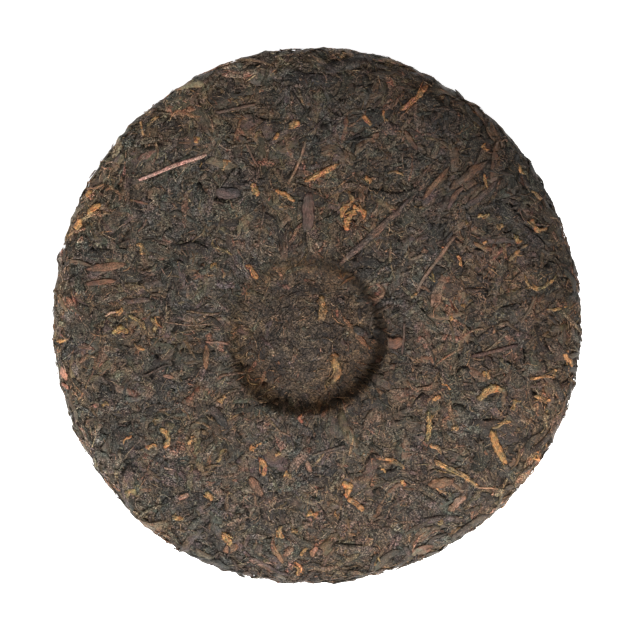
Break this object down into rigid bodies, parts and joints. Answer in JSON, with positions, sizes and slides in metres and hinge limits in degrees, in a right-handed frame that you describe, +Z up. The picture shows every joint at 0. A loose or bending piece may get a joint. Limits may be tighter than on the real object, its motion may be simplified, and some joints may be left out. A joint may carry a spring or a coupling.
{
  "type": "pu erh tea cake",
  "caption": "Round pressed cake of dark tea leaf with a domed face, a flat back, a rounded rim and a shallow round hollow in the back.",
  "frame": {"origin": "under the middle of the cake, on the surface it rests on", "axes": "+Z up through the cake's thickness, from its domed face towards its flat back; +X to the right and +Y away from the viewer in the picture's view, which looks straight down on the back"},
  "size_m": [0.1996, 0.2014, 0.0235],
  "materials": {
    "pressed_leaf": "dry matte pressed tea leaf, dark brown and charcoal with golden tips and brown stems"
  },
  "bodies": {
    "root": {"tea_cake": "pressed_leaf"}
  },
  "joints": []
}
